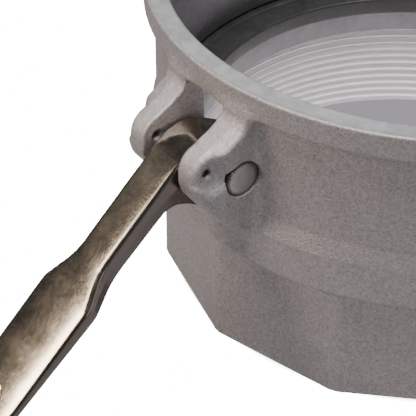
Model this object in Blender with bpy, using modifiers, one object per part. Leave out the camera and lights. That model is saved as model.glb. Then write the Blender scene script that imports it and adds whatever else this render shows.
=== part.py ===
"""Camlock coupling, 6 inch: a female cam socket above a female taper pipe thread.

Metres, +Z up. The origin is the centre of the threaded end face, which the coupling stands on.
The two cam arms lie along -X (left) and +X (right), drooping part-way between open and closed.
"""

import math

import bmesh
import bpy
from mathutils import Matrix, Vector

MM = 0.001
GAP = 0.3 * MM  # left between pieces that touch

# Body, turned part: radii and heights
HEIGHT = 107.0 * MM
SOCKET_RADIUS = 88.35 * MM
RIM_RADIUS = 95.5 * MM
RIM_UNDERSIDE = 98.5 * MM
RIM_CHAMFER = 0.7 * MM
NECK_RADIUS = 91.9 * MM
NECK_FOOT = 63.4 * MM
SHOULDER_RADIUS = 93.4 * MM
SHOULDER_TOP = 57.2 * MM
SHOULDER_FOOT = 43.8 * MM
SHOULDER_UNDERCUT = (88.5 * MM, 40.0 * MM)  # where its sloping underside ends
TURNED_STEPS = 72

# Base: a twelve-sided prism for a strap wrench, with corners on the arms' axis
BASE_SIDES = 12
BASE_CORNER_RADIUS = 90.0 * MM

# Gasket and its groove
GROOVE_RADIUS = 89.95 * MM
GROOVE_FLOOR = 44.8 * MM
GROOVE_ROOF = 51.7 * MM
GASKET_OUTER_RADIUS = 89.6 * MM
GASKET_INNER_RADIUS = 76.1 * MM
GASKET_THICKNESS = 6.1 * MM
GASKET_CHAMFER = 0.5 * MM
SEAT_RADIUS = 77.4 * MM
SEAT_FOOT = 36.6 * MM

# Taper pipe thread, 8 turns to the inch, 1 in 16 on the diameter
THREAD_PITCH = 3.175 * MM
THREAD_TURNS = 10
THREAD_DEPTH = 2.3 * MM
THREAD_MOUTH_RADIUS = 81.3 * MM
THREAD_TOP = 34.6 * MM
THREAD_SLOPE = 1 / 32
MOUTH_CHAMFER_RADIUS = 84.6 * MM
MOUTH_CHAMFER_HEIGHT = 1.6 * MM

# Ears: a pair to each arm
EAR_INNER_FACE = 8.5 * MM  # from the arm's mid plane
LOBE_OUTER_FACE = 16.8 * MM
BOSS_OUTER_FACE = 19.6 * MM
LOBE_CENTRE = (103.6 * MM, 81.6 * MM)  # distance from the coupling's axis, and height
LOBE_RADIUS = 8.2 * MM
LOBE_ARC = (-20.0, 75.0)
LOBE_HEEL = (110.4 * MM, 75.0 * MM)
EAR_KNEE = (102.4 * MM, 63.9 * MM)
EAR_FOOT = (94.0 * MM, 54.2 * MM)
BOSS_FRONT = 103.6 * MM
CLIP_HOLE_CENTRE = (106.6 * MM, 82.8 * MM)
CLIP_HOLE_RADIUS = 1.6 * MM
WINDOW_FOOT = 57.5 * MM
WINDOW_HEAD = 98.2 * MM

# Hinge pins
PIN_CENTRE = (95.6 * MM, 78.0 * MM)
PIN_RADIUS = 4.7 * MM
PIN_HALF_LENGTH = 19.4 * MM
PIN_CHAMFER = 0.4 * MM
PIN_HOLE_RADIUS = 5.0 * MM

# Cam arms: lengths along the arm from the pin, heights above the pin's axis
ARM_DROOP = 42.0  # degrees below horizontal at rest
ARM_TOP = 12.7 * MM
HUB_HALF_WIDTH = 7.7 * MM
HUB_END = 1.0 * MM
SHANK_START = 9.0 * MM
SHANK_HALF_WIDTH = 6.9 * MM
HANDLE_HALF_WIDTH = 11.9 * MM
HANDLE_START = 46.0 * MM
HANDLE_FULL = 60.0 * MM
TIP = 103.0 * MM
TIP_CORNER_RADIUS = 7.0 * MM
EYE_CENTRE = 96.0 * MM
EYE_RADIUS = 3.25 * MM
TIP_UNDERSIDE = 9.3 * MM

# Pull rings
RING_RADIUS = 10.25 * MM
RING_WIRE_RADIUS = 1.25 * MM
RING_CLEARANCE = 3.0 * MM  # from the middle of the bar it hangs on to its inner side

SIDES = {"left": 180.0, "right": 0.0}  # each arm's direction round +Z from +X

for old in list(bpy.data.objects):
    bpy.data.objects.remove(old, do_unlink=True)

pieces = bpy.data.collections.new("camlock_coupling")
cutters = bpy.data.collections.new("cutters")
bpy.context.scene.collection.children.link(pieces)
bpy.context.scene.collection.children.link(cutters)


def material(name, colour, roughness, metallic):
    made = bpy.data.materials.new(name)
    made.use_nodes = True
    shader = made.node_tree.nodes["Principled BSDF"]
    shader.inputs["Base Color"].default_value = (*colour, 1)
    shader.inputs["Roughness"].default_value = roughness
    shader.inputs["Metallic"].default_value = metallic
    return made


def add_object(name, mesh, surface=None):
    """A piece, or a helper for Booleans where it has no surface material."""
    made = bpy.data.objects.new(name, mesh)
    if surface:
        mesh.materials.append(surface)
        pieces.objects.link(made)
    else:
        cutters.objects.link(made)
        made.hide_render = True
        made.display_type = "WIRE"
    return made


def smooth(obj):
    for face in obj.data.polygons:
        face.use_smooth = True


def boolean(obj, operation, other):
    step = obj.modifiers.new(f"{operation.lower()} {other.name}", "BOOLEAN")
    step.operation = operation
    step.object = other
    step.solver = "EXACT"


def turned(name, profile, steps, surface=None, closed=False):
    """A profile of (radius, height) points turned round Z."""
    shape = bmesh.new()
    points = [shape.verts.new((radius, 0, height)) for radius, height in profile]
    for first, second in zip(points, points[1:]):
        shape.edges.new((first, second))
    if closed:
        shape.edges.new((points[-1], points[0]))
    mesh = bpy.data.meshes.new(name)
    shape.to_mesh(mesh)
    shape.free()
    made = add_object(name, mesh, surface)
    screw = made.modifiers.new("turn", "SCREW")
    screw.axis = "Z"
    screw.steps = steps
    screw.render_steps = steps
    screw.use_merge_vertices = True
    screw.merge_threshold = 0.00001
    screw.use_smooth_shade = True
    return made


def cylinder(name, radius, length, place, segments=32):
    """A closed cylinder helper, its axis along Z before place moves it."""
    shape = bmesh.new()
    bmesh.ops.create_cone(
        shape, cap_ends=True, segments=segments, radius1=radius, radius2=radius, depth=length, matrix=place
    )
    mesh = bpy.data.meshes.new(name)
    shape.to_mesh(mesh)
    shape.free()
    return add_object(name, mesh)


def outline_mesh(name, outline, thickness, place):
    """A filled flat outline with a thickness, centred on its plane, moved by place."""
    curve = bpy.data.curves.new(name, "CURVE")
    curve.dimensions = "2D"
    curve.fill_mode = "BOTH"
    curve.extrude = thickness / 2
    spline = curve.splines.new("POLY")
    spline.points.add(len(outline) - 1)
    for point, (across, up) in zip(spline.points, outline):
        point.co = (across, up, 0, 1)
    spline.use_cyclic_u = True
    holder = bpy.data.objects.new(name, curve)
    cutters.objects.link(holder)
    mesh = bpy.data.meshes.new_from_object(holder)
    bpy.data.objects.remove(holder, do_unlink=True)
    shape = bmesh.new()
    shape.from_mesh(mesh)
    bmesh.ops.remove_doubles(shape, verts=shape.verts, dist=0.000001)
    bmesh.ops.transform(shape, matrix=place, verts=shape.verts)
    bmesh.ops.recalc_face_normals(shape, faces=shape.faces)
    shape.to_mesh(mesh)
    shape.free()
    return mesh


def arc(centre, radius, start, end, count):
    """Points round an arc, from start to end in degrees."""
    angles = [math.radians(start + (end - start) * i / count) for i in range(count + 1)]
    return [(centre[0] + radius * math.cos(a), centre[1] + radius * math.sin(a)) for a in angles]


def s_curve(start, end, count):
    """Points easing from one (along, across) place to another."""
    points = []
    for i in range(count + 1):
        share = i / count
        ease = share * share * (3 - 2 * share)
        points.append((start[0] + (end[0] - start[0]) * share, start[1] + (end[1] - start[1]) * ease))
    return points


UPRIGHT = Matrix.Rotation(math.radians(90), 4, "X")  # an outline's second direction becomes +Z
ACROSS = UPRIGHT  # a cylinder's axis becomes the Y direction


def on_side(angle):
    """Turns a piece built on +X to lie at this angle round Z."""
    return Matrix.Rotation(math.radians(angle), 4, "Z")


def bore_profile():
    """Everything cut from the middle, top to bottom, with the thread as grooves."""
    points = [
        (0, HEIGHT + MM),
        (SOCKET_RADIUS, HEIGHT + MM),
        (SOCKET_RADIUS, GROOVE_ROOF),
        (GROOVE_RADIUS, GROOVE_ROOF),
        (GROOVE_RADIUS, GROOVE_FLOOR),
        (SEAT_RADIUS, GROOVE_FLOOR),
        (SEAT_RADIUS, SEAT_FOOT),
    ]
    for turn in range(THREAD_TURNS):
        crest = THREAD_TOP - turn * THREAD_PITCH
        root = crest - THREAD_PITCH / 2
        points.append((THREAD_MOUTH_RADIUS - crest * THREAD_SLOPE, crest))
        points.append((THREAD_MOUTH_RADIUS - root * THREAD_SLOPE + THREAD_DEPTH, root))
    points += [
        (THREAD_MOUTH_RADIUS, THREAD_TOP - THREAD_TURNS * THREAD_PITCH),
        (THREAD_MOUTH_RADIUS, MOUTH_CHAMFER_HEIGHT),
        (MOUTH_CHAMFER_RADIUS, 0),
        (MOUTH_CHAMFER_RADIUS, -MM),
        (0, -MM),
    ]
    return points


def outer_profile():
    return [
        (0, HEIGHT),
        (RIM_RADIUS - RIM_CHAMFER, HEIGHT),
        (RIM_RADIUS, HEIGHT - RIM_CHAMFER),
        (RIM_RADIUS, RIM_UNDERSIDE),
        (NECK_RADIUS, RIM_UNDERSIDE),
        (NECK_RADIUS, NECK_FOOT),
        (SHOULDER_RADIUS, SHOULDER_TOP),
        (SHOULDER_RADIUS, SHOULDER_FOOT),
        SHOULDER_UNDERCUT,
        (0, SHOULDER_UNDERCUT[1]),
    ]


def lobe_outline():
    """An ear's whole side view: root in the neck, sloping top edge, round lobe, straight lower edge."""
    root = NECK_RADIUS - 2.5 * MM
    return [
        (root, RIM_UNDERSIDE + MM),
        (93.0 * MM, RIM_UNDERSIDE + MM),
        (96.3 * MM, 94.6 * MM),
        (100.5 * MM, 91.4 * MM),
        *reversed(arc(LOBE_CENTRE, LOBE_RADIUS, *LOBE_ARC, 9)),
        LOBE_HEEL,
        EAR_KNEE,
        EAR_FOOT,
        (root, 52.5 * MM),
    ]


def boss_outline():
    """The thicker part of an ear round the pin, which runs down onto the shoulder."""
    root = NECK_RADIUS - 3.0 * MM
    return [
        (root, RIM_UNDERSIDE + MM),
        (93.0 * MM, RIM_UNDERSIDE + MM),
        (96.3 * MM, 94.6 * MM),
        (100.2 * MM, 91.8 * MM),
        (BOSS_FRONT, 89.0 * MM),
        (BOSS_FRONT, 82.0 * MM),
        (BOSS_FRONT + 1.4 * MM, 70.0 * MM),
        (EAR_KNEE[0] - 0.6 * MM, EAR_KNEE[1] + 0.4 * MM),
        (EAR_FOOT[0] - 0.4 * MM, EAR_FOOT[1] + 0.6 * MM),
        (root, 53.5 * MM),
    ]


def make_body(surface):
    body = turned("coupler_body", outer_profile(), TURNED_STEPS, surface)
    base_height = SHOULDER_FOOT + 2 * MM
    base = cylinder(
        "base_prism", BASE_CORNER_RADIUS, base_height, Matrix.Translation((0, 0, base_height / 2)), BASE_SIDES
    )
    boolean(body, "UNION", base)
    for side, angle in SIDES.items():
        for hand, sign in (("near", -1), ("far", 1)):
            for part, outline, outer in (
                ("lobe", lobe_outline(), LOBE_OUTER_FACE),
                ("boss", boss_outline(), BOSS_OUTER_FACE),
            ):
                inner = EAR_INNER_FACE - MM
                middle = Matrix.Translation((0, sign * (inner + outer) / 2, 0))
                name = f"{side}_{hand}_{part}"
                mesh = outline_mesh(name, outline, outer - inner, on_side(angle) @ middle @ UPRIGHT)
                boolean(body, "UNION", add_object(name, mesh))
    boolean(body, "DIFFERENCE", turned("bore", bore_profile(), TURNED_STEPS))
    for side, angle in SIDES.items():
        cut_arm_opening(body, side, angle)
    return body


def cut_arm_opening(body, side, angle):
    """The window for the cam, the hinge pin's hole and the clip's hole, on one side."""
    inner, outer = SOCKET_RADIUS - 4 * MM, SHOULDER_RADIUS + 20 * MM
    shape = bmesh.new()
    size = Matrix.Diagonal((outer - inner, 2 * EAR_INNER_FACE, WINDOW_HEAD - WINDOW_FOOT, 1))
    middle = Matrix.Translation(((inner + outer) / 2, 0, (WINDOW_HEAD + WINDOW_FOOT) / 2))
    bmesh.ops.create_cube(shape, size=1, matrix=on_side(angle) @ middle @ size)
    mesh = bpy.data.meshes.new(f"{side}_window")
    shape.to_mesh(mesh)
    shape.free()
    boolean(body, "DIFFERENCE", add_object(f"{side}_window", mesh))
    for name, centre, radius, segments in (
        ("pin_hole", PIN_CENTRE, PIN_HOLE_RADIUS, 32),
        ("clip_hole", CLIP_HOLE_CENTRE, CLIP_HOLE_RADIUS, 12),
    ):
        place = on_side(angle) @ Matrix.Translation((centre[0], 0, centre[1])) @ ACROSS
        hole = cylinder(f"{side}_{name}", radius, 3 * BOSS_OUTER_FACE, place, segments)
        boolean(body, "DIFFERENCE", hole)


def make_gasket(surface):
    low = GROOVE_FLOOR + GAP
    high = low + GASKET_THICKNESS
    inner, outer, chamfer = GASKET_INNER_RADIUS, GASKET_OUTER_RADIUS, GASKET_CHAMFER
    profile = [
        (inner + chamfer, high),
        (outer - chamfer, high),
        (outer, high - chamfer),
        (outer, low + chamfer),
        (outer - chamfer, low),
        (inner + chamfer, low),
        (inner, low + chamfer),
        (inner, high - chamfer),
    ]
    return turned("gasket", profile, 64, surface, closed=True)


def pin_place(angle):
    return on_side(angle) @ Matrix.Translation((PIN_CENTRE[0], 0, PIN_CENTRE[1]))


def make_pin(side, angle, surface):
    profile = [
        (0, PIN_HALF_LENGTH),
        (PIN_RADIUS - PIN_CHAMFER, PIN_HALF_LENGTH),
        (PIN_RADIUS, PIN_HALF_LENGTH - PIN_CHAMFER),
        (PIN_RADIUS, PIN_CHAMFER - PIN_HALF_LENGTH),
        (PIN_RADIUS - PIN_CHAMFER, -PIN_HALF_LENGTH),
        (0, -PIN_HALF_LENGTH),
    ]
    pin = turned(f"hinge_pin_{side}", profile, 32, surface)
    pin.matrix_world = pin_place(angle) @ ACROSS
    return pin


def arm_side_outline():
    """Along the arm and above the pin's axis: flat top, cam nose pointing down, slim handle."""
    nose = arc((1.6 * MM, 0.0 * MM), 14.6 * MM, 213, 296, 12)
    return [
        (TIP + MM, TIP_UNDERSIDE),
        (TIP + MM, ARM_TOP),
        (6.0 * MM, ARM_TOP),
        (1.6 * MM, 10.9 * MM),
        (-2.0 * MM, 8.4 * MM),
        (-4.9 * MM, 5.8 * MM),
        (-7.2 * MM, 2.0 * MM),
        *nose,
        (13.9 * MM, -10.4 * MM),
        (15.0 * MM, -7.0 * MM),
        (16.1 * MM, -2.6 * MM),
        (18.3 * MM, 2.2 * MM),
        (21.5 * MM, 4.3 * MM),
        (46.0 * MM, 5.2 * MM),
        (60.0 * MM, 7.0 * MM),
        (96.0 * MM, TIP_UNDERSIDE),
    ]


def arm_plan_outline():
    """Along the arm and across it."""
    corner = (TIP - TIP_CORNER_RADIUS, HANDLE_HALF_WIDTH - TIP_CORNER_RADIUS)
    half = [
        (-20.0 * MM, HUB_HALF_WIDTH),
        *s_curve((HUB_END, HUB_HALF_WIDTH), (SHANK_START, SHANK_HALF_WIDTH), 4),
        *s_curve((HANDLE_START, SHANK_HALF_WIDTH), (HANDLE_FULL, HANDLE_HALF_WIDTH), 8),
        *reversed(arc(corner, TIP_CORNER_RADIUS, 0, 90, 6)),
    ]
    return half + [(along, -across) for along, across in reversed(half)]


def arm_place(angle):
    return pin_place(angle) @ Matrix.Rotation(math.radians(ARM_DROOP), 4, "Y")


def make_arm(side, angle, surface):
    depth = 4 * HANDLE_HALF_WIDTH
    arm = add_object(
        f"cam_arm_{side}", outline_mesh("arm_profile", arm_side_outline(), depth, UPRIGHT), surface
    )
    arm.matrix_world = arm_place(angle)
    plan = add_object(f"{side}_arm_plan", outline_mesh("arm_plan", arm_plan_outline(), depth, Matrix()))
    eye_place = Matrix.Translation((EYE_CENTRE, 0, ARM_TOP))
    helpers = (
        ("INTERSECT", plan),
        ("DIFFERENCE", cylinder(f"{side}_arm_bore", PIN_HOLE_RADIUS, depth, ACROSS)),
        ("DIFFERENCE", cylinder(f"{side}_arm_eye", EYE_RADIUS, depth, eye_place, 24)),
    )
    for operation, helper in helpers:
        helper.matrix_world = arm.matrix_world
        boolean(arm, operation, helper)
    return arm


def ring_hinge(angle):
    """The middle of the bar between an arm's eye and its tip, which the ring hangs on."""
    bar = Vector(((EYE_CENTRE + EYE_RADIUS + TIP) / 2, 0, (TIP_UNDERSIDE + ARM_TOP) / 2))
    return arm_place(angle) @ bar


def make_ring(side, angle, surface):
    bpy.ops.mesh.primitive_torus_add(
        major_radius=RING_RADIUS, minor_radius=RING_WIRE_RADIUS, major_segments=40, minor_segments=8
    )
    ring = bpy.context.object
    ring.name = f"pull_ring_{side}"
    for holder in list(ring.users_collection):
        holder.objects.unlink(ring)
    pieces.objects.link(ring)
    ring.data.materials.append(surface)
    drop = RING_RADIUS - RING_WIRE_RADIUS - RING_CLEARANCE
    ring.data.transform(Matrix.Translation((0, 0, -drop)) @ ACROSS)
    ring.location = ring_hinge(angle)
    smooth(ring)
    return ring


aluminium = material("cast_aluminium", (0.42, 0.39, 0.38), 0.55, 0.9)
rubber = material("black_rubber", (0.02, 0.02, 0.02), 0.6, 0.0)
arm_steel = material("arm_steel", (0.30, 0.27, 0.23), 0.35, 1.0)
pin_steel = material("pin_steel", (0.45, 0.42, 0.40), 0.35, 1.0)
ring_steel = material("ring_steel", (0.55, 0.54, 0.52), 0.25, 1.0)

make_body(aluminium)
make_gasket(rubber)
for side, angle in SIDES.items():
    make_pin(side, angle, pin_steel)
    make_arm(side, angle, arm_steel)
    make_ring(side, angle, ring_steel)
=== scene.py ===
"""Looks of the camlock coupling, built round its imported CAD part.

Shapes are worked out in millimetres as signed distances, meshed on a grid and drawn onto the surface.
The casting, its thread, the gasket, the two cam arms, their pins and their pull rings are separate pieces.
"""

import math

import bpy
import numpy as np
from mathutils import Matrix, Vector


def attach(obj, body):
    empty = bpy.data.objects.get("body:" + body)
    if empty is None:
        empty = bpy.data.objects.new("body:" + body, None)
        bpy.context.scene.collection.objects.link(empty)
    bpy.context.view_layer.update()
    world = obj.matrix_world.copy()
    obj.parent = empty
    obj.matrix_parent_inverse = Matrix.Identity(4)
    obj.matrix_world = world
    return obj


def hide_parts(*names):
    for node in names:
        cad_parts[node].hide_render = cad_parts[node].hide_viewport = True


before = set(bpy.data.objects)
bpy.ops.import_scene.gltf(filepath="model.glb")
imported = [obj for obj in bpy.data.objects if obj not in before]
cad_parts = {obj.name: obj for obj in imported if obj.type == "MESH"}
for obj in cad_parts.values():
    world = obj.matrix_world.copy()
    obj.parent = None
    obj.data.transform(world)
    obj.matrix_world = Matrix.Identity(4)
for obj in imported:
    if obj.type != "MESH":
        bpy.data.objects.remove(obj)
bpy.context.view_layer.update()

MM = 0.001

# ---------------------------------------------------------------- dimensions, mm
HEIGHT = 107.0
SOCKET_RADIUS = 88.35
RIM_RADIUS = 95.45
RIM_UNDERSIDE = 98.5
RIM_FACE_RADIUS = 94.6  # the machined ring on top ends here
NECK_RADIUS = 91.9
NECK_FOOT = 63.4
SHOULDER_RADIUS = 93.4
SHOULDER_TOP = 57.2
SHOULDER_FOOT = 43.8
SHOULDER_UNDERCUT = (88.5, 40.0)
BASE_SIDES = 12
BASE_CORNER_RADIUS = 90.0
BASE_CORNER_ROUND = 7.0
BASE_HALF_HEIGHT = 23.0

GROOVE_RADIUS = 89.95
GROOVE_FLOOR = 44.8
GROOVE_ROOF = 51.7
GASKET_OUTER, GASKET_INNER = 89.6, 76.1
GASKET_LOW, GASKET_HIGH = 45.1, 51.2
SEAT_RADIUS = 77.4
SEAT_FOOT = 36.6

THREAD_PITCH = 3.175
THREAD_DEPTH = 2.3
THREAD_MOUTH_RADIUS = 81.3
THREAD_SLOPE = 1 / 32
THREAD_TOP = 34.6
MOUTH_CHAMFER_RADIUS = 84.6
MOUTH_CHAMFER_HEIGHT = 1.6
LINER_RADIUS = 85.0  # where the threaded wall joins the rest of the casting

EAR_INNER_FACE = 8.5
LOBE_OUTER_FACE = 16.8
BOSS_OUTER_FACE = 19.6
LOBE_CENTRE = (103.6, 81.6)
LOBE_RADIUS = 8.2
CLIP_HOLE = (106.6, 82.8, 1.35)  # distance from the axis, height, radius
DISH_RADIUS, DISH_CENTRE = 9.0, 8.25  # the hollow round a clip hole, its centre outside the lobe's face
WINDOW = (84.35, 118.5, 57.5, 98.2)  # inner and outer end, foot and head
WINDOW_POCKET = (95.4, 4.9, 56.5, 1.3)  # a shallow pocket below the window: middle and half size, out and up
PIN_CENTRE = (95.6, 78.0)
PIN_SEAT_RADIUS = 5.85
PIN_RADIUS = 4.7
PIN_HALF_LENGTH = 19.4

ARM_DROOP = 42.0
ARM_TOP = 12.7
HUB_HALF_WIDTH = 7.7
SHANK_HALF_WIDTH = 6.9
HANDLE_HALF_WIDTH = 11.9
CAD_TIP = 103.0
TIP = 102.98  # just inside the CAD's
TIP_CORNER_RADIUS = 7.0
EYE_CENTRE, EYE_RADIUS = 96.0, 3.25
TIP_UNDERSIDE = 9.3
ARM_BORE_RADIUS = 5.0

RING_RADIUS, RING_WIRE = 10.25, 1.25
RING_DROP = 6.0  # from the bar down to the ring's centre

SIDE_ANGLES = {"left": 180.0, "right": 0.0}
EAR_SECTOR = 17.0  # degrees each side of an arm that its ears and cuts reach

# How softly the casting's shapes run into each other
BASE_JOIN, EAR_JOIN, BOSS_JOIN = 1.2, 3.6, 2.6
LOBE_EDGE, BOSS_EDGE = 2.6, 1.8
MACHINED_EDGE = 0.35
ROUGHNESS_DEPTH = 0.11


# ---------------------------------------------------------------- distances
def smooth_min(a, b, k):
    """The smaller of two distances, blended where they differ by less than k."""
    h = np.maximum(k - np.abs(a - b), 0) / k
    return np.minimum(a, b) - h * h * k * 0.25


def smooth_max(a, b, k):
    return -smooth_min(-a, -b, k)


def polygon_distance(x, y, points):
    """Signed distance to a closed outline, negative inside."""
    x, y = np.broadcast_arrays(x, y)
    nearest = np.full(x.shape, 1e9)
    inside = np.zeros(x.shape, bool)
    for (ax, ay), (bx, by) in zip(points, points[1:] + points[:1]):
        ex, ey = bx - ax, by - ay
        px, py = x - ax, y - ay
        share = np.clip((px * ex + py * ey) / (ex * ex + ey * ey), 0, 1)
        nearest = np.minimum(nearest, (px - share * ex) ** 2 + (py - share * ey) ** 2)
        if ey:
            inside ^= ((ay > y) != (by > y)) & (px < ex * py / ey)
    return np.where(inside, -1, 1) * np.sqrt(nearest)


def rounded_extrude(outline, across, half, radius):
    """An outline's distance given a half thickness, with its edges rounded."""
    a, b = outline + radius, np.abs(across) - half + radius
    return np.minimum(np.maximum(a, b), 0) + np.hypot(np.maximum(a, 0), np.maximum(b, 0)) - radius


def arc(centre, radius, start, end, count):
    """Points on an arc from one angle to another, in degrees."""
    angles = [math.radians(start + (end - start) * i / count) for i in range(count + 1)]
    return [(centre[0] + radius * math.cos(a), centre[1] + radius * math.sin(a)) for a in angles]


def corners(points):
    """Points as sharp corners for filleted."""
    return [(x, y, 0) for x, y in points]


def filleted(outline, count=5):
    """A closed outline of (x, y, radius) corners with each one rounded by its radius."""
    points = []
    for i, (x, y, radius) in enumerate(outline):
        here = np.array((x, y))
        back = np.array(outline[i - 1][:2]) - here
        on = np.array(outline[(i + 1) % len(outline)][:2]) - here
        if not radius:
            points.append((x, y))
            continue
        reach_back, reach_on = np.linalg.norm(back), np.linalg.norm(on)
        back, on = back / reach_back, on / reach_on
        half = math.acos(np.clip(back @ on, -1, 1)) / 2
        cut = min(radius / math.tan(half), 0.49 * reach_back, 0.49 * reach_on)
        first, last = here + back * cut, here + on * cut
        for step in range(count + 1):
            t = step / count
            point = first * (1 - t) ** 2 + here * 2 * t * (1 - t) + last * t * t
            points.append((float(point[0]), float(point[1])))
    return points


def waviness(x, y, z):
    """Slow unevenness of a sand casting, from 0 to 1."""
    total = np.sin(x * 0.83 + 1.3 * np.sin(z * 0.31 + 0.4)) * np.sin(y * 0.71 + 1.1 * np.sin(x * 0.27))
    total = total + np.sin(z * 0.93 + 1.2 * np.sin(y * 0.37 + 1.0)) * np.sin((x + y) * 0.47 + 0.6)
    total = total + 0.6 * np.sin(x * 1.9 + y * 0.7) * np.sin(z * 1.7 - y * 1.1 + 0.8)
    return 0.5 + total / 5.2


# ---------------------------------------------------------------- grids into meshes
def surface_net(field, wraps=False):
    """Vertices in grid units, and quads, of the surface where the field crosses zero.

    With wraps the first direction closes on itself. Quads face towards the positive side."""
    shape = np.array(field.shape)
    ids, offsets, quads, flips = [], [], [], []
    for a in range(3):
        b, c = (a + 1) % 3, (a + 2) % 3
        if a == 0 and wraps:
            nxt = np.roll(field, -1, axis=0)
            now = field
        else:
            cut = [slice(None)] * 3
            cut[a] = slice(0, -1)
            now = field[tuple(cut)]
            cut[a] = slice(1, None)
            nxt = field[tuple(cut)]
        at = np.argwhere((now < 0) != (nxt < 0))
        keep = np.ones(len(at), bool)
        for other in (b, c):
            if not (other == 0 and wraps):
                keep &= (at[:, other] > 0) & (at[:, other] < shape[other] - 1)
        at = at[keep]
        low, high = now[tuple(at.T)], nxt[tuple(at.T)]
        place = at.astype(float)
        place[:, a] += low / (low - high)
        around = []
        for db, dc in ((0, 0), (-1, 0), (-1, -1), (0, -1)):
            cell = at.copy()
            cell[:, b] += db
            cell[:, c] += dc
            offset = place - cell
            if wraps:
                cell[:, 0] %= shape[0]
            around.append(np.ravel_multi_index(cell.T, shape))
            ids.append(around[-1])
            offsets.append(offset)
        quads.append(np.stack(around, 1))
        flips.append(low > high)
    ids = np.concatenate(ids)
    offsets = np.concatenate(offsets)
    unique, index = np.unique(ids, return_inverse=True)
    count = np.bincount(index)
    mean = np.stack([np.bincount(index, offsets[:, i]) / count for i in range(3)], 1)
    vertices = np.stack(np.unravel_index(unique, shape), 1) + mean
    quads = np.searchsorted(unique, np.concatenate(quads))
    flips = np.concatenate(flips)
    quads[flips] = quads[flips][:, ::-1]
    return vertices, quads


def gradient(distance, points, step=0.03):
    """The slope of a distance at each point."""
    slopes = []
    for axis in range(3):
        shift = np.zeros(3)
        shift[axis] = step
        slopes.append((distance(points + shift) - distance(points - shift)) / (2 * step))
    return np.stack(slopes, 1)


def settle(distance, points, rounds=3, reach=0.4):
    """Moves points onto the surface and returns them with their normals."""
    for _ in range(rounds):
        slope = gradient(distance, points)
        size = np.maximum((slope**2).sum(1), 0.05)
        move = slope * (distance(points) / size)[:, None]
        length = np.linalg.norm(move, axis=1)
        points = points - move * np.minimum(1, reach / np.maximum(length, 1e-9))[:, None]
    slope = gradient(distance, points)
    return points, slope / np.maximum(np.linalg.norm(slope, axis=1), 1e-9)[:, None]


def mesh_object(name, points, faces, normals=None, place=None):
    """A piece from points in millimetres. place is a matrix in metres that they are moved by."""
    points = np.asarray(points) * MM
    if place is not None:
        turn, shift = np.array(place.to_3x3()), np.array(place.translation)
        points = points @ turn.T + shift
        normals = None if normals is None else normals @ turn.T
    mesh = bpy.data.meshes.new(name)
    sides = np.array([len(face) for face in faces], np.int32)
    mesh.vertices.add(len(points))
    mesh.vertices.foreach_set("co", points.astype(np.float32).ravel())
    mesh.loops.add(int(sides.sum()))
    mesh.loops.foreach_set("vertex_index", np.concatenate([np.asarray(f) for f in faces]).astype(np.int32))
    mesh.polygons.add(len(sides))
    mesh.polygons.foreach_set("loop_start", np.concatenate([[0], np.cumsum(sides)[:-1]]).astype(np.int32))
    mesh.update(calc_edges=True)
    mesh.validate()
    mesh.polygons.foreach_set("use_smooth", np.ones(len(mesh.polygons), bool))
    if normals is not None:
        mesh.normals_split_custom_set_from_vertices(normals.tolist())
    made = bpy.data.objects.new(name, mesh)
    bpy.context.scene.collection.objects.link(made)
    return made


def point_values(obj, name, values):
    """Adds one number a vertex, which a material can read."""
    layer = obj.data.attributes.new(name, "FLOAT", "POINT")
    layer.data.foreach_set("value", np.asarray(values, np.float32))


def finish_piece(obj, body, surface, slot, *nodes):
    """Gives a piece its looks and its body, and hides the CAD nodes that it replaces. The slot argument is
    not used.
    """
    obj.data.materials.append(surface)
    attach(obj, body)
    if nodes:
        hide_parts(*nodes)


def pin_place(side):
    """The middle of one side's pin, with +X pointing out along its arm's side."""
    turn = Matrix.Rotation(math.radians(SIDE_ANGLES[side]), 4, "Z")
    return turn @ Matrix.Translation((PIN_CENTRE[0] * MM, 0, PIN_CENTRE[1] * MM))


def tube_quads(around, section):
    """Quads of a closed tube whose points run round each section, one section after another."""
    grid = np.arange(around * section).reshape(around, section)
    on = np.roll(grid, -1, axis=0)
    return np.stack([grid, on, np.roll(on, -1, axis=1), np.roll(grid, -1, axis=1)], 2).reshape(-1, 4)


def grid_points(net, *axes):
    """Where a net's vertices lie on each axis's grid lines."""
    return [np.interp(net[:, i], np.arange(len(lines)), lines) for i, lines in enumerate(axes)]


def runs(*parts):
    """Grid lines from (start, end, step) runs joined end to end."""
    lines = [np.linspace(a, b, max(1, round((b - a) / step)), endpoint=False) for a, b, step in parts]
    return np.concatenate(lines + [[parts[-1][1]]])


# ---------------------------------------------------------------- casting
# Sections, as (distance from the axis, height, corner radius)
OUTER = filleted(
    [
        (0, HEIGHT, 0),
        (RIM_RADIUS, HEIGHT, 0.9),
        (RIM_RADIUS, RIM_UNDERSIDE, 0.8),
        (NECK_RADIUS, RIM_UNDERSIDE, 1.0),
        (NECK_RADIUS, NECK_FOOT, 3.0),
        (SHOULDER_RADIUS, SHOULDER_TOP, 2.5),
        (SHOULDER_RADIUS, SHOULDER_FOOT, 1.6),
        (*SHOULDER_UNDERCUT, 1.0),
        (0, SHOULDER_UNDERCUT[1], 0),
    ]
)
BORE = filleted(
    [
        (0, HEIGHT + 5, 0),
        (SOCKET_RADIUS + 5.5, HEIGHT + 5, 0),
        (SOCKET_RADIUS, HEIGHT - 0.5, 0),
        (SOCKET_RADIUS, GROOVE_ROOF, 0),
        (GROOVE_RADIUS, GROOVE_ROOF, 0),
        (GROOVE_RADIUS, GROOVE_FLOOR, 0.5),
        (SEAT_RADIUS, GROOVE_FLOOR, 0.4),
        (SEAT_RADIUS, SEAT_FOOT, 0),
        (LINER_RADIUS, SEAT_FOOT, 0),
        (LINER_RADIUS, -5, 0),
        (0, -5, 0),
    ]
)
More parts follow.
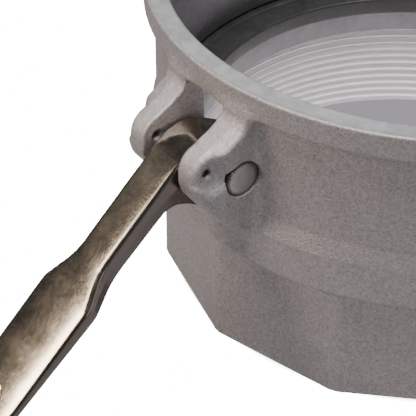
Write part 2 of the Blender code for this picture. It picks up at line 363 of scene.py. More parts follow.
# The two layers of an ear, seen along its pin in the same way
LOBE = filleted(
    [
        (NECK_RADIUS - 2.5, RIM_UNDERSIDE + 1, 0),
        (93.0, RIM_UNDERSIDE + 1, 0),
        (96.3, 94.6, 3),
        (100.5, 91.4, 4),
        *corners(arc(LOBE_CENTRE, LOBE_RADIUS, 75, -20, 14)),
        (110.4, 75.0, 5),
        (102.4, 63.9, 4),
        (94.0, 54.2, 2),
        (NECK_RADIUS - 2.5, 52.5, 0),
    ]
)
BOSS = filleted(
    [
        (NECK_RADIUS - 3, RIM_UNDERSIDE + 1, 0),
        (93.0, RIM_UNDERSIDE + 1, 0),
        (96.3, 94.6, 3),
        (100.5, 91.6, 3),
        (104.0, 89.4, 2.5),
        (103.4, 82.6, 5),
        (107.6, 79.7, 6),
        (111.4, 79.3, 1.0),
        (110.3, 75.0, 4),
        (102.2, 64.0, 4),
        (95.8, 58.4, 4),
        (NECK_RADIUS - 3, 56.0, 0),
    ]
)
BOSS_TAPER = (102.0, 0.2)  # where the boss starts to thin outwards, and how fast
# Blow holes in the lobes: distance from the axis, height, distance from the mid plane, radius
PITS = (
    (110.3, 79.4, 14.9, 0.55),
    (109.8, 77.9, 15.4, 0.5),
    (110.7, 78.5, 14.0, 0.45),
    (108.9, 76.4, 15.6, 0.45),
    (104.8, 73.6, 14.6, 0.75),
    (103.9, 73.2, 15.7, 0.5),
    (101.9, 88.9, 17.2, 0.4),
)


def base_distance(angle, radius):
    """A rounded twelve-sided prism seen from above, its corners on the arms' axis."""
    half_sector = math.pi / BASE_SIDES
    folded = np.abs(np.mod(angle, 2 * half_sector) - half_sector)
    flat = BASE_CORNER_RADIUS * math.cos(half_sector) - BASE_CORNER_ROUND
    along, across = radius * np.cos(folded), radius * np.sin(folded)
    beyond = np.maximum(across - flat * math.tan(half_sector), 0)
    return np.where(along > flat, np.hypot(along - flat, beyond), along - flat) - BASE_CORNER_ROUND


def ears_distance(x, y, z):
    """One arm's pair of ears, for points in the frame where that arm lies along +X."""
    y = np.abs(y)
    inner = EAR_INNER_FACE - 2.5  # the window cuts this back to the inner face
    lobe = rounded_extrude(
        polygon_distance(x, z, LOBE),
        y - (inner + LOBE_OUTER_FACE) / 2,
        (LOBE_OUTER_FACE - inner) / 2,
        LOBE_EDGE,
    )
    thinning = BOSS_TAPER[1] * np.maximum(x - BOSS_TAPER[0], 0)
    boss = rounded_extrude(
        polygon_distance(x, z, BOSS),
        y + thinning / 2 - (inner + BOSS_OUTER_FACE) / 2,
        (BOSS_OUTER_FACE - thinning - inner) / 2,
        BOSS_EDGE,
    )
    return smooth_min(lobe, boss, BOSS_JOIN)


def slot_distance(x, side, z, middle, half_out, centre, half_up):
    """A box between the ears, given by its middle and half size outwards and upwards."""
    outwards, upwards = np.abs(x - middle) - half_out, np.abs(z - centre) - half_up
    return np.maximum(np.maximum(outwards, side - EAR_INNER_FACE), upwards)


def cut_ears(solid, x, y, z):
    """Takes the window, the dish round each clip hole, the holes and the blow holes out of a pair of ears."""
    side = np.abs(y)
    dish_away = side - LOBE_OUTER_FACE - DISH_CENTRE
    dish = DISH_RADIUS - np.sqrt((x - CLIP_HOLE[0]) ** 2 + (z - CLIP_HOLE[1]) ** 2 + dish_away**2)
    solid = smooth_max(solid, dish, 1.0)
    middle, reach = (WINDOW[0] + WINDOW[1]) / 2, (WINDOW[1] - WINDOW[0]) / 2
    centre, rise = (WINDOW[2] + WINDOW[3]) / 2, (WINDOW[3] - WINDOW[2]) / 2
    solid = smooth_max(solid, -slot_distance(x, side, z, middle, reach, centre, rise), 1.0)
    solid = smooth_max(solid, -slot_distance(x, side, z, *WINDOW_POCKET), 0.8)
    pin = np.hypot(x - PIN_CENTRE[0], z - PIN_CENTRE[1]) - PIN_SEAT_RADIUS
    solid = smooth_max(solid, -pin, 0.5)
    clip = np.hypot(x - CLIP_HOLE[0], z - CLIP_HOLE[1]) - CLIP_HOLE[2]
    solid = smooth_max(solid, -clip, 0.9)
    for pit_x, pit_z, pit_y, radius in PITS:
        pit = np.sqrt((x - pit_x) ** 2 + (z - pit_z) ** 2 + (y + pit_y) ** 2) - radius
        solid = smooth_max(solid, -pit, 0.4)
    return solid


def casting_distance(angle, radius, height):
    """Signed distance to the casting. The three arrays are a grid's lines, or one value a point."""
    turned_part = polygon_distance(radius, height, OUTER)
    base_ends = np.abs(height - BASE_HALF_HEIGHT) - BASE_HALF_HEIGHT
    base = smooth_max(base_distance(angle, radius), base_ends, 0.8)
    solid = smooth_min(turned_part, base, BASE_JOIN)
    bore = polygon_distance(radius, height, BORE)
    x, y = radius * np.cos(angle), radius * np.sin(angle)
    # the casting is uneven, but not where it is machined: the bore and the two end faces
    cast = np.clip((np.abs(bore) - 0.8) / 2, 0, 1) * np.clip((HEIGHT - 1.1 - height) / 1.2, 0, 1)
    cast = cast * np.clip((height - 0.5) / 2, 0, 1)
    rough = ROUGHNESS_DEPTH * cast * waviness(x, y, height)
    bored = smooth_max(solid, -bore, MACHINED_EDGE)
    for turn in SIDE_ANGLES.values():
        off = np.mod(angle - math.radians(turn) + math.pi, 2 * math.pi) - math.pi
        part = (np.abs(off) < math.radians(EAR_SECTOR)).ravel()
        if not part.any():
            continue

        def pick(values):
            return values[part] if len(values) == len(part) else values

        ear_x, ear_y = pick(radius) * np.cos(pick(off)), pick(radius) * np.sin(pick(off))
        ears = ears_distance(ear_x, ear_y, pick(height))
        joined = smooth_max(smooth_min(pick(solid), ears, EAR_JOIN), -pick(bore), MACHINED_EDGE)
        bored[part] = cut_ears(joined, ear_x, ear_y, pick(height))
    return bored + rough


# Grid of the casting, as (start, end, step) runs: fine at the ears, and finest at the left pair
CASTING_DEGREES = (
    ((-14.2, 14.2, 0.6), (14.2, 30, 1.8), (30, 150, 2.4), (150, 165.8, 1.8), (165.8, 194.2, 0.4)),
    ((194.2, 210, 1.8), (210, 330, 2.4), (330, 345.8, 1.8)),
)
CASTING_RADII = ((74.8, 79.6, 0.6), (79.6, 83.6, 1.0), (83.6, 114.2, 0.6))
CASTING_HEIGHTS = (
    (-1.1, 1.3, 0.6),
    (1.3, 4, 1.35),
    (4, 35, 3.1),
    (35, 46, 0.7),
    (46, 51, 1.0),
    (51, 53, 0.6),
    (53, 100, 0.7),
    (100, 105, 1.2),
    (105, 108.5, 0.55),
)


def make_casting():
    angles = np.concatenate([np.radians(runs(*part)[:-1]) for part in CASTING_DEGREES])
    radii, heights = runs(*CASTING_RADII), runs(*CASTING_HEIGHTS)
    field = casting_distance(angles[:, None, None], radii[None, :, None], heights[None, None, :])
    net, quads = surface_net(field, wraps=True)
    looped = np.concatenate([angles, [angles[0] + 2 * math.pi]])
    angle, radius, height = grid_points(net, looped, radii, heights)
    points = np.stack([radius * np.cos(angle), radius * np.sin(angle), height], 1)

    def distance(p):
        return casting_distance(np.arctan2(p[:, 1], p[:, 0]), np.hypot(p[:, 0], p[:, 1]), p[:, 2])

    points, normals = settle(distance, points)
    # angle, radius and height are a left-handed set, so the quads are turned over
    made = mesh_object("coupler_casting", points, quads[:, ::-1], normals)
    radius, height = np.hypot(points[:, 0], points[:, 1]), points[:, 2]
    bored = np.clip(1.4 - np.abs(polygon_distance(radius, height, BORE)) / MACHINED_EDGE, 0, 1)
    inside_rim = 1 - np.clip((radius - RIM_FACE_RADIUS) / 0.25, 0, 1)
    faced_top = np.clip((height - (HEIGHT - 0.25)) / 0.15, 0, 1) * inside_rim
    faced_foot = np.clip(1 - height / 0.2, 0, 1)
    point_values(made, "machined", np.maximum(np.maximum(bored, faced_top), faced_foot))
    return made


# ---------------------------------------------------------------- thread
# One turn of the thread in section: share of the turn, and rise from root to crest
THREAD_FORM = ((0.0, 1.0), (0.08, 1.0), (0.46, 0.0), (0.58, 0.0), (0.96, 1.0), (1.0, 1.0))
THREAD_AROUND, THREAD_ROWS_A_TURN = 360, 14


def make_thread():
    """The threaded wall: rows follow the helix, so crests and roots stay sharp all the way round."""
    around, per_turn = THREAD_AROUND, THREAD_ROWS_A_TURN
    turns = math.ceil(SEAT_FOOT / THREAD_PITCH) + 1
    rows = per_turn * (turns + 1) + 1
    turn_share = np.arange(around)[:, None] / around
    steps = (np.arange(rows)[None, :] / per_turn) - 1
    height = np.clip((steps + turn_share) * THREAD_PITCH, 0, SEAT_FOOT)
    rise = np.interp(np.mod(steps, 1), *zip(*THREAD_FORM)) + 0 * turn_share
    fade = np.clip((THREAD_TOP + 0.6 - height) / 1.6, 0, 1)  # the thread runs out below the seat
    radius = THREAD_MOUTH_RADIUS - height * THREAD_SLOPE + THREAD_DEPTH * (1 - rise) * fade + (1 - fade) * 0.3
    flare = MOUTH_CHAMFER_RADIUS - THREAD_MOUTH_RADIUS
    radius = np.maximum(radius, MOUTH_CHAMFER_RADIUS - flare * height / MOUTH_CHAMFER_HEIGHT)
    angle = 2 * math.pi * turn_share + 0 * steps
    points = [np.stack([radius * np.cos(angle), radius * np.sin(angle), height], 2).reshape(-1, 3)]
    grid = np.arange(around * rows).reshape(around, rows)
    quads = []
    for i in range(around):
        if i + 1 < around:
            a, b = grid[i, :-1], grid[i, 1:]
            c, d = grid[i + 1, 1:], grid[i + 1, :-1]
        else:  # the last column meets the first one a turn further up
            a, b = grid[i, : -per_turn - 1], grid[i, 1:-per_turn]
            c, d = grid[0, per_turn + 1 :], grid[0, per_turn:-1]
        quads.append(np.stack([a, b, c, d], 1))
    quads = np.concatenate(quads)
    # the wall's back lies hidden in the casting, and closes the mesh
    wall = (
        (LINER_RADIUS - 0.05, 0.0),
        (LINER_RADIUS + 0.5, 2.0),
        (LINER_RADIUS + 0.5, SEAT_FOOT + 0.3),
        (SEAT_RADIUS + 3.4, SEAT_FOOT + 0.3),
        (SEAT_RADIUS + 3.0, SEAT_FOOT),
    )
    ring_angle = 2 * math.pi * np.arange(around) / around
    for r, z in wall:
        points.append(np.stack([r * np.cos(ring_angle), r * np.sin(ring_angle), np.full(around, z)], 1))
    back = grid.size + np.arange(around * len(wall)).reshape(len(wall), around)
    back = np.vstack([grid[:, 0], back, grid[:, -1]])
    for low, high in zip(back, back[1:]):
        on_low, on_high = np.roll(low, -1), np.roll(high, -1)
        quads = np.concatenate([quads, np.stack([low, on_low, on_high, high], 1)])
    points = np.concatenate(points)
    corner = points[quads]
    area = np.linalg.norm(np.cross(corner[:, 2] - corner[:, 0], corner[:, 3] - corner[:, 1]), axis=1)
    made = mesh_object("pipe_thread", points, quads[area > 1e-4])  # without the rows clipped flat at the ends
    made.data.set_sharp_from_angle(angle=math.radians(50))
    return made


# ---------------------------------------------------------------- turned pieces
def turned(name, profile, around):
    """A closed profile of (radius, height) points turned round Z."""
    angle = 2 * math.pi * np.arange(around)[:, None] / around
    radius = np.array([p[0] for p in profile])[None, :]
    height = np.array([p[1] for p in profile])[None, :] + 0 * angle
    points = np.stack([radius * np.cos(angle), radius * np.sin(angle), height], 2).reshape(-1, 3)
    return mesh_object(name, points, tube_quads(around, len(profile)))


def make_gasket():
    """A flat ring with a shallow groove in its top, near its outer edge."""
    section = [
        (GASKET_INNER, GASKET_LOW, 0.8),
        (GASKET_OUTER, GASKET_LOW, 0.8),
        (GASKET_OUTER, GASKET_HIGH, 0.9),
        (GASKET_OUTER - 3.2, GASKET_HIGH, 0.4),
        (GASKET_OUTER - 3.6, GASKET_HIGH - 0.35, 0.4),
        (GASKET_OUTER - 4.4, GASKET_HIGH - 0.35, 0.4),
        (GASKET_OUTER - 4.8, GASKET_HIGH, 0.4),
        (GASKET_INNER, GASKET_HIGH, 0.9),
    ]
    made = turned("sealing_gasket", filleted(section, 4), 256)
    made.data.set_sharp_from_angle(angle=math.radians(40))
    return made


KNURL_TEETH = 40
KNURL_POINTS = 8  # round one tooth
# Half a pin from its end to its middle: distance from the middle, radius, height of the teeth
PIN_HALF = (
    (PIN_HALF_LENGTH - 0.02, 1.2, 0),
    (PIN_HALF_LENGTH, 4.15, 0),
    (19.35, 4.4, 0),
    (19.22, 4.55, 0),
    (19.2, 4.6, 0.95),
    (18.9, PIN_RADIUS, 0.9),
    (14.6, PIN_RADIUS, 0.66),
    (14.3, PIN_RADIUS, 0),
    (8.4, PIN_RADIUS, 0),
)


def make_pin(side):
    """A hinge pin along Y: plain shank, knurled ends pressed into the ears, flat turned end faces."""
    sections = [*PIN_HALF, *((-y, radius, tooth) for y, radius, tooth in reversed(PIN_HALF))]
    around = KNURL_TEETH * KNURL_POINTS
    angle = 2 * math.pi * np.arange(around) / around
    tooth_wave = np.clip(0.5 + 0.75 * np.cos(angle * KNURL_TEETH), 0, 1)
    points = [(0, PIN_HALF_LENGTH - 0.02, 0), (0, 0.02 - PIN_HALF_LENGTH, 0)]
    for y, radius, tooth in sections:
        r = radius + tooth * tooth_wave
        points += list(zip(r * np.sin(angle), np.full(around, y), r * np.cos(angle)))
    faces = []
    for j in range(around):
        k = (j + 1) % around
        faces.append((0, 2 + j, 2 + k))
        for i in range(len(sections) - 1):
            a, b = 2 + i * around, 2 + (i + 1) * around
            faces.append((a + k, a + j, b + j, b + k))
        last = 2 + (len(sections) - 1) * around
        faces.append((1, last + k, last + j))
    made = mesh_object(f"knurled_pin_{side}", np.array(points), faces, place=pin_place(side))
    made.data.set_sharp_from_angle(angle=math.radians(35))
    return made


# ---------------------------------------------------------------- cam arms
# Seen from the side, along and above the pin: flat top, handle, shank, and the cam round the pin
ARM_SIDE = filleted(
    [
        (TIP + 3, TIP_UNDERSIDE, 0),
        (TIP + 3, ARM_TOP, 0),
        (9.0, ARM_TOP, 60),
        (3.0, 11.3, 40),
        (-2.0, 8.4, 30),
        (-4.9, 5.8, 20),
        (-7.2, 2.0, 10),
        *corners(arc((1.6, 0.0), 14.6, 213, 296, 24)),
        (13.9, -10.4, 1.5),
        (15.0, -7.0, 2),
        (16.1, -2.6, 6),
        (18.3, 2.2, 6),
        (21.5, 4.3, 6),
        (46.0, 5.2, 20),
        (60.0, 7.0, 20),
        (96.0, TIP_UNDERSIDE, 10),
    ]
)
# Seen from above, along and half across
ARM_HALF = [
    (-20.0, HUB_HALF_WIDTH, 0),
    (1.0, HUB_HALF_WIDTH, 20),
    (9.0, SHANK_HALF_WIDTH, 20),
    (47.0, SHANK_HALF_WIDTH, 22),
    (59.0, HANDLE_HALF_WIDTH, 9),
]
ARM_WIDTHS = [(u, w) for u, w, _ in ARM_HALF] + [(104.0, HANDLE_HALF_WIDTH)]
TIP_CORNER = (TIP - TIP_CORNER_RADIUS, HANDLE_HALF_WIDTH - TIP_CORNER_RADIUS)
ARM_HALF += corners(reversed(arc(TIP_CORNER, TIP_CORNER_RADIUS, 0, 90, 12)))
ARM_PLAN = filleted(ARM_HALF + [(u, -w, radius) for u, w, radius in reversed(ARM_HALF)])
# Along, and how far the top falls from its middle to its edges
ARM_CROWN = ((-20.0, 0.3), (18.0, 0.35), (44.0, 0.4), (62.0, 0.65), (90.0, 0.65), (104.0, 0.45))
# Along, and the height of the forging's parting line, from which its sides slope in
ARM_MIDDLE = ((-20.0, 4.0), (14.0, 7.0), (22.0, 8.5), (60.0, 9.6), (104.0, 11.0))
ARM_DRAFT = 0.06
ARM_BEVEL = 0.7


def arm_distance(u, w, v):
    """Along, across and above a cam arm whose pin is at the origin."""
    side = polygon_distance(u, v, ARM_SIDE)
    edge = polygon_distance(u, w, ARM_PLAN)
    edge = edge + ARM_DRAFT * np.abs(v - np.interp(u, *zip(*ARM_MIDDLE)))
    share = w / np.interp(u, *zip(*ARM_WIDTHS))
    top = v - ARM_TOP + np.interp(u, *zip(*ARM_CROWN)) * np.minimum(share * share, 1.3)
    bevel = (top + edge + ARM_BEVEL) * math.sqrt(0.5)
    solid = smooth_max(side, edge, 0.9)
    solid = smooth_max(smooth_max(solid, top, 0.4), bevel, 0.5)
    solid = smooth_max(solid, ARM_BORE_RADIUS - np.hypot(u, v), 0.4)
    return smooth_max(solid, EYE_RADIUS - np.hypot(u - EYE_CENTRE, w), 0.9)


def arm_shape():
    """Points, faces and normals of one arm in its own frame: along, across, above."""
    along = runs((-14.6, 104.6, 0.45))
    across = runs((-12.9, 12.9, 0.4))
    above = runs((-15.8, 14.0, 0.4))
    field = arm_distance(along[:, None, None], across[None, :, None], above[None, None, :])
    net, quads = surface_net(field)
    points = np.stack(grid_points(net, along, across, above), 1)

    def distance(p):
        return arm_distance(p[:, 0], p[:, 1], p[:, 2])

    points, normals = settle(distance, points)
    return points, quads, normals


def arm_place(side):
    """An arm's own frame, along, across and above, as it hangs at rest."""
    return pin_place(side) @ Matrix.Rotation(math.radians(ARM_DROOP), 4, "Y")


# ---------------------------------------------------------------- pull rings
def make_ring(side):
    """A ring of round wire with a small weld, hanging from the bar at the arm's tip."""
    around, section = 160, 24  # points round the ring, and round its wire
    a = 2 * math.pi * np.arange(around)[:, None] / around
    b = 2 * math.pi * np.arange(section)[None, :] / section
    weld = 1 - 0.09 * np.exp(-(((a - math.radians(285)) / 0.07) ** 2))  # a slight waist at the lowest part
    wire = (RING_WIRE - 0.01) * weld
    r = RING_RADIUS + wire * np.cos(b)
    points = np.stack([r * np.cos(a), wire * np.sin(b) + 0 * a, r * np.sin(a) - RING_DROP], 2).reshape(-1, 3)
    quads = tube_quads(around, section)[:, [0, 3, 2, 1]]  # turned over, because this tube runs the other way
    bar = Vector(((EYE_CENTRE + EYE_RADIUS + CAD_TIP) / 2, 0, (TIP_UNDERSIDE + ARM_TOP) / 2)) * MM
    place = Matrix.Translation(arm_place(side) @ bar)
    return mesh_object(f"wire_pull_ring_{side}", points, quads, place=place)


# ---------------------------------------------------------------- materials
class Surface:
    """A material and short ways to add nodes to it."""

    def __init__(self, name, **settings):
        self.material = bpy.data.materials.new(name)
        self.material.use_nodes = True
        self.tree = self.material.node_tree
        self.shader = self.tree.nodes["Principled BSDF"]
        for key, value in settings.items():
            self.put(self.shader.inputs[key.replace("_", " ")], value)
        self.coords = self.add("ShaderNodeTexCoord").outputs["Object"]

    def put(self, socket, value):
        if isinstance(value, bpy.types.NodeSocket):
            self.tree.links.new(value, socket)
        elif isinstance(value, tuple) and len(value) == 3 and len(socket.default_value) == 4:
            socket.default_value = (*value, 1)
        else:
            socket.default_value = value

    def add(self, kind, inputs=None, **settings):
        node = self.tree.nodes.new(kind)
        for key, value in settings.items():
            setattr(node, key, value)
        for key, value in (inputs or {}).items():
            self.put(node.inputs[key], value)
        return node

    def noise(self, size, detail=3.0, rough=0.55, coords=None):
        """Noise whose grain is about size millimetres."""
        inputs = {"Vector": coords or self.coords, "Scale": 1 / MM / size}
        inputs.update({"Detail": detail, "Roughness": rough})
        return self.add("ShaderNodeTexNoise", inputs).outputs["Fac"]

    def spots(self, size):
        """Distance to scattered points about size millimetres apart, as a share of that size."""
        inputs = {"Vector": self.coords, "Scale": 1 / MM / size}
        return self.add("ShaderNodeTexVoronoi", inputs).outputs["Distance"]

    def math(self, operation, a, b=0.0):
        return self.add("ShaderNodeMath", {0: a, 1: b}, operation=operation).outputs[0]

    def band(self, value, low, high, to_low=0.0, to_high=1.0):
        """Maps value from low..high onto to_low..to_high, held at the ends."""
        inputs = {0: value, 1: low, 2: high, 3: to_low, 4: to_high}
        return self.add("ShaderNodeMapRange", inputs).outputs[0]

    def mix(self, share, a, b):
        """A colour share of the way from a to b."""
        node = self.add("ShaderNodeMix", data_type="RGBA")
        self.put(node.inputs[0], share)
        self.put(node.inputs[6], a)
        self.put(node.inputs[7], b)
        return node.outputs[2]

    def blend(self, share, a, b):
        """The same for a number."""
        node = self.add("ShaderNodeMix", data_type="FLOAT")
        self.put(node.inputs[0], share)
        self.put(node.inputs[2], a)
        self.put(node.inputs[3], b)
        return node.outputs[0]

    def attribute(self, name):
        """A number a vertex, from point_values."""
        return self.add("ShaderNodeAttribute", attribute_name=name).outputs["Fac"]

    def bump(self, height, depth, strength=1.0, normal=None):
        """Bump of a depth in millimetres for height 0 to 1."""
        inputs = {"Height": height, "Distance": depth * MM, "Strength": strength}
        if normal is not None:
            inputs["Normal"] = normal
        return self.add("ShaderNodeBump", inputs).outputs["Normal"]

    def split(self):
        return self.add("ShaderNodeSeparateXYZ", {0: self.coords}).outputs

    def length(self, a, b):
        return self.math("SQRT", self.math("ADD", self.math("MULTIPLY", a, a), self.math("MULTIPLY", b, b)))

    def from_axis(self):
        x, y, _ = self.split()
        return self.length(x, y)

    def waves(self, along, spacing):
        """Turning marks this many millimetres apart."""
        return self.math("SINE", self.math("MULTIPLY", along, 2 * math.pi / (spacing * MM)))

    def set(self, **values):
        for key, value in values.items():
            self.put(self.shader.inputs[key.replace("_", " ")], value)
        return self.material


def cast_aluminium():
    """Sand cast skin with pores and stains, and turned metal where the machined values say so; the pores and
    the turned bore wall are painted dark as shade.
    """
    s = Surface("cast_aluminium_looks", Metallic=0.8)
    machined = s.attribute("machined")
    grain, fine = s.noise(0.9, 4.0, 0.7), s.noise(0.45, 2.0)
    patches, broad = s.noise(7.0, 4.0, 0.6), s.noise(30.0, 3.0)
    tone = s.math("ADD", s.band(patches, 0.3, 0.7, -0.05, 0.05), s.band(broad, 0.3, 0.7, -0.035, 0.035))
    tone = s.math("ADD", tone, s.band(grain, 0.3, 0.7, -0.36, 0.36))
    cast = s.mix(s.math("ADD", tone, 0.5), (0.28, 0.256, 0.262), (0.64, 0.592, 0.607))
    # pores are small dents, painted dark inside as the shade in them
    pores_and_pore_shade = s.band(s.spots(2.6), 0.05, 0.13, 1.0, 0.0)
    pores_and_pore_shade = s.math("MULTIPLY", pores_and_pore_shade, s.band(s.noise(11.0), 0.52, 0.62))
    cast = s.mix(s.math("MULTIPLY", pores_and_pore_shade, 0.55), cast, (0.13, 0.12, 0.12))
    specks = s.math("MULTIPLY", s.band(s.spots(9.0), 0.03, 0.07, 1.0, 0.0), s.band(s.noise(24.0), 0.5, 0.6))
    cast = s.mix(s.math("MULTIPLY", specks, 0.7), cast, (0.16, 0.10, 0.07))
    streaks = s.noise(2.2, 3.0)
    _, _, z = s.split()
    # the bore's turned wall is painted dark grey as shade, a shaded copy of the faced top's turned metal
    bore_shade_tone = s.mix(streaks, (0.15, 0.147, 0.155), (0.22, 0.216, 0.226))
    faced_tone = s.mix(streaks, (0.62, 0.615, 0.625), (0.74, 0.735, 0.745))
    turned_tone_with_bore_shade = s.mix(s.band(z, (HEIGHT - 1.2) * MM, (HEIGHT - 0.4) * MM), bore_shade_tone, faced_tone)
    colour = s.mix(machined, cast, turned_tone_with_bore_shade)
    cast_rough = s.band(s.noise(1.6, 3.0), 0.3, 0.7, 0.46, 0.62)
    turned_rough = s.band(s.noise(5.0, 3.0), 0.3, 0.7, 0.42, 0.54)
    lines = s.waves(s.math("ADD", s.from_axis(), z), 0.42)
    height = s.math("ADD", s.math("MULTIPLY", grain, 0.75), s.math("MULTIPLY", fine, 0.35))
    height = s.math("SUBTRACT", height, s.math("MULTIPLY", pores_and_pore_shade, 0.9))
    rough_normal = s.bump(s.math("MULTIPLY", height, s.math("SUBTRACT", 1.0, machined)), 0.30, 1.0)
    normal = s.bump(s.math("MULTIPLY", lines, machined), 0.004, 0.5, rough_normal)
    return s.set(Base_Color=colour, Roughness=s.blend(machined, cast_rough, turned_rough), Normal=normal)


def thread_metal():
    """Cut metal painted near white with little shine as a painted highlight, scratched round the thread."""
    s = Surface("cut_thread_painted_highlight_looks", Metallic=0.05)
    x, y, z = s.split()
    stretched = s.math("MULTIPLY", s.math("ARCTAN2", y, x), 0.004)  # far apart along the scratches
    rolled = s.add("ShaderNodeCombineXYZ", {0: stretched, 1: z, 2: s.from_axis()}).outputs[0]
    scratches = s.noise(0.4, 3.0, 0.6, rolled)
    patches = s.noise(6.0, 3.0)
    # near-white colour on an almost unmetallic surface: painted highlight for the light the thread reflects
    colour = s.mix(patches, (0.82, 0.79, 0.82), (0.92, 0.89, 0.92))
    rough = s.band(s.math("ADD", scratches, patches), 0.7, 1.3, 0.34, 0.46)
    return s.set(Base_Color=colour, Roughness=rough, Normal=s.bump(scratches, 0.012, 0.5))


def gasket_rubber():
    """Black rubber with a faint bloom."""
    s = Surface("black_rubber_looks", Specular_IOR_Level=0.42)
    patches, grain = s.noise(9.0, 3.0), s.noise(0.5, 3.0)
    bloom = s.band(s.noise(3.0, 4.0), 0.52, 0.75)
    colour = s.mix(patches, (0.018, 0.017, 0.018), (0.032, 0.030, 0.031))
    colour = s.mix(s.math("MULTIPLY", bloom, 0.35), colour, (0.06, 0.058, 0.058))
    rough = s.band(patches, 0.3, 0.7, 0.34, 0.5)
    return s.set(Base_Color=colour, Roughness=rough, Normal=s.bump(grain, 0.03, 0.6))


def arm_metal():
    """Tumbled steel with a brownish plating; its forged sides, facing across, are painted darker as shade."""
    s = Surface("arm_steel_looks", Metallic=1.0)
    clouds, grain, fine = s.noise(7.0, 4.0, 0.6), s.noise(1.0, 3.0, 0.6), s.noise(0.45, 2.0)
    colour = s.mix(s.band(clouds, 0.3, 0.7), (0.48, 0.41, 0.325), (0.66, 0.57, 0.465))
    colour = s.mix(s.band(grain, 0.4, 0.75, 0.0, 0.4), colour, (0.78, 0.69, 0.57))
    # faces turned to either side get a darker colour: painted shade
    facing = s.add("ShaderNodeNewGeometry").outputs["Normal"]
    across = s.add("ShaderNodeSeparateXYZ", {0: facing}).outputs[1]
    side_painted_shade = s.band(s.math("ABSOLUTE", across), 0.7, 0.95)
    colour = s.mix(side_painted_shade, colour, s.mix(clouds, (0.17, 0.148, 0.138), (0.24, 0.208, 0.192)))
    rough = s.math("ADD", s.band(clouds, 0.3, 0.7, 0.13, 0.18), s.band(grain, 0.3, 0.7, -0.02, 0.03))
    height = s.math("ADD", s.math("MULTIPLY", grain, 0.6), s.math("MULTIPLY", fine, 0.4))
    return s.set(Base_Color=colour, Roughness=rough, Normal=s.bump(height, 0.010, 0.6))


def pin_metal():
    """Turned steel, its marks round either pin's axis."""
    s = Surface("pin_steel_looks", Metallic=1.0)
    x, _, z = s.split()
    x = s.math("SUBTRACT", s.math("ABSOLUTE", x), PIN_CENTRE[0] * MM)
    z = s.math("SUBTRACT", z, PIN_CENTRE[1] * MM)
    lines = s.waves(s.length(x, z), 0.35)
    clouds = s.noise(2.5, 3.0)
    colour = s.mix(clouds, (0.44, 0.41, 0.39), (0.60, 0.56, 0.54))
    rough = s.band(clouds, 0.3, 0.7, 0.28, 0.42)
    return s.set(Base_Color=colour, Roughness=rough, Normal=s.bump(lines, 0.006, 0.5))


def ring_metal():
    """Bright spring wire."""
    s = Surface("ring_steel_looks", Metallic=1.0)
    clouds, fine = s.noise(2.0, 3.0), s.noise(0.4, 3.0)
    colour = s.mix(clouds, (0.50, 0.49, 0.47), (0.66, 0.65, 0.63))
    rough = s.band(clouds, 0.3, 0.7, 0.18, 0.32)
    return s.set(Base_Color=colour, Roughness=rough, Normal=s.bump(fine, 0.01, 0.5))


# ---------------------------------------------------------------- build
aluminium, thread_surface, rubber = cast_aluminium(), thread_metal(), gasket_rubber()
steel, pin_surface, ring_surface = arm_metal(), pin_metal(), ring_metal()

finish_piece(make_casting(), "coupler", aluminium, "cast_aluminium", "coupler_body")
finish_piece(make_thread(), "coupler", thread_surface, "cast_aluminium", "coupler_body")
finish_piece(make_gasket(), "coupler", rubber, "black_rubber", "gasket")
arm_points, arm_faces, arm_normals = arm_shape()
for side in SIDE_ANGLES:
    finish_piece(make_pin(side), "coupler", pin_surface, "pin_steel", f"hinge_pin_{side}")
    arm = mesh_object(f"steel_cam_arm_{side}", arm_points, arm_faces, arm_normals, arm_place(side))
    finish_piece(arm, f"arm_{side}", steel, "arm_steel", f"cam_arm_{side}")
    finish_piece(make_ring(side), f"ring_{side}", ring_surface, "ring_steel", f"pull_ring_{side}")


# ---------------------------------------------------------------- studio
FLOOR_RADIUS = 4.0  # metres
FLOOR_GAP = 0.0004  # metres below the coupling
FLOOR_GLOW = (0.24, 0.03)  # light from the floor near the coupling, and far from it
GLOW_REACH = (0.12, 0.42)  # metres from the axis between which it fades
BORE_GLOW = 1.5  # light coming up through the bore
BORE_FLOOR = (85.5, 88.0)  # radii between which the floor changes from painted shade to white, under the wall
# how brightly the camera sees the floor in the bore: painted shade
BORE_FLOOR_PAINTED_SHADE = 0.42
WHITE_LIGHT = 18.0  # bright enough to be seen as plain white
SOFTBOX_TARGET = Vector((0, 0, 0.05))
WORLD_LIGHT = 0.055


def studio_floor():
    """A pale floor: white outside the coupling, painted shade in its bore, and softly glowing on the pieces.
    """
    bpy.ops.mesh.primitive_circle_add(
        vertices=96, radius=FLOOR_RADIUS, fill_type="NGON", location=(0, 0, -FLOOR_GAP)
    )
    floor = bpy.context.object
    floor.name = "studio_floor"
    looks = Surface("studio_floor_looks", Base_Color=(0.16, 0.16, 0.165), Roughness=0.9)
    outside = looks.band(looks.from_axis(), BORE_FLOOR[0] * MM, BORE_FLOOR[1] * MM)
    fading = looks.band(looks.from_axis(), *GLOW_REACH, *FLOOR_GLOW)
    looks.set(Emission_Color=(1.0, 0.97, 0.96), Emission_Strength=looks.blend(outside, BORE_GLOW, fading))
    glow = looks.add("ShaderNodeEmission")
    # the floor in the bore is a lavender grey painted shade; outside it is plain white
    looks.put(glow.inputs["Color"], looks.mix(outside, (0.93, 0.87, 0.96), (1.0, 1.0, 1.0)))
    looks.put(glow.inputs["Strength"], looks.blend(outside, BORE_FLOOR_PAINTED_SHADE, WHITE_LIGHT))
    path = looks.add("ShaderNodeLightPath")
    share = looks.add("ShaderNodeMixShader", {0: path.outputs["Is Camera Ray"]})
    looks.tree.links.new(looks.shader.outputs[0], share.inputs[1])
    looks.tree.links.new(glow.outputs[0], share.inputs[2])
    looks.tree.links.new(share.outputs[0], looks.tree.nodes["Material Output"].inputs["Surface"])
    floor.data.materials.append(looks.material)


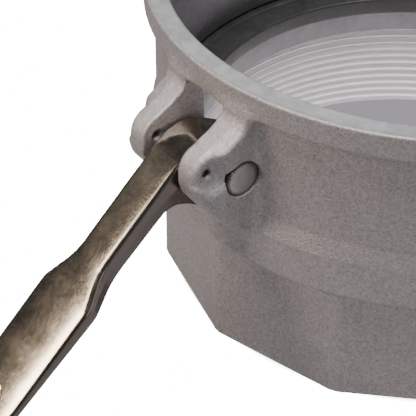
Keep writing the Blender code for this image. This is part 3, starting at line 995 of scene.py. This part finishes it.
def studio_world():
    """A faint even light from all round."""
    world = bpy.data.worlds.new("studio_world")
    world.use_nodes = True
    background = world.node_tree.nodes["Background"]
    background.inputs["Color"].default_value = (0.97, 0.985, 1.0, 1)
    background.inputs["Strength"].default_value = WORLD_LIGHT
    bpy.context.scene.world = world


def softbox(name, direction, distance, width, height, power, colour=(1, 1, 1)):
    """A rectangular soft light in a direction from the coupling's middle, facing it. Metres and watts."""
    light = bpy.data.lights.new(name, "AREA")
    light.shape = "RECTANGLE"
    light.size, light.size_y = width, height
    light.energy = power
    light.color = colour
    made = bpy.data.objects.new(name, light)
    bpy.context.scene.collection.objects.link(made)
    aim = Vector(direction).normalized()
    made.location = SOFTBOX_TARGET + aim * distance
    made.rotation_mode = "QUATERNION"
    made.rotation_quaternion = aim.to_track_quat("Z", "Y")


studio_floor()
studio_world()
softbox("overhead_softbox", (-0.08, -0.10, 1.0), 1.5, 1.0, 0.8, 36.0)
softbox("key_softbox", (-1.17, 0.475, 0.627), 1.41, 0.45, 0.4, 10.5, (1.0, 0.87, 0.72))
softbox("edge_strip", (-1.15, 0.0, 0.86), 1.44, 0.1, 0.34, 1.2, (1.0, 0.92, 0.82))
softbox("front_fill", (0.15, -1.0, 0.2), 1.8, 1.0, 0.7, 1.4)
softbox("right_fill", (0.9, -0.9, 0.12), 1.6, 0.8, 0.6, 2.0)
softbox("back_fill", (-0.55, 0.95, 0.75), 1.5, 0.7, 0.5, 0.1, (1.0, 0.96, 0.90))

# ---------------------------------------------------------------- camera
CAMERA_PLACE = (-0.33305, -0.31076, 0.36048)  # metres
CAMERA_TILT, CAMERA_HEADING, CAMERA_ROLL = 52.03, -37.6, 0.17  # degrees
CAMERA_LENS, CAMERA_SENSOR = 138.2, 36.0  # mm

camera_data = bpy.data.cameras.new("studio_camera")
camera_data.lens = CAMERA_LENS
camera_data.sensor_width = CAMERA_SENSOR
camera_data.clip_start, camera_data.clip_end = 0.01, 30.0
camera = bpy.data.objects.new("studio_camera", camera_data)
bpy.context.scene.collection.objects.link(camera)
camera.matrix_world = (
    Matrix.Translation(CAMERA_PLACE)
    @ Matrix.Rotation(math.radians(CAMERA_HEADING), 4, "Z")
    @ Matrix.Rotation(math.radians(CAMERA_TILT), 4, "X")
    @ Matrix.Rotation(math.radians(CAMERA_ROLL), 4, "Z")
)
bpy.context.scene.camera = camera

bpy.context.view_layer.update()
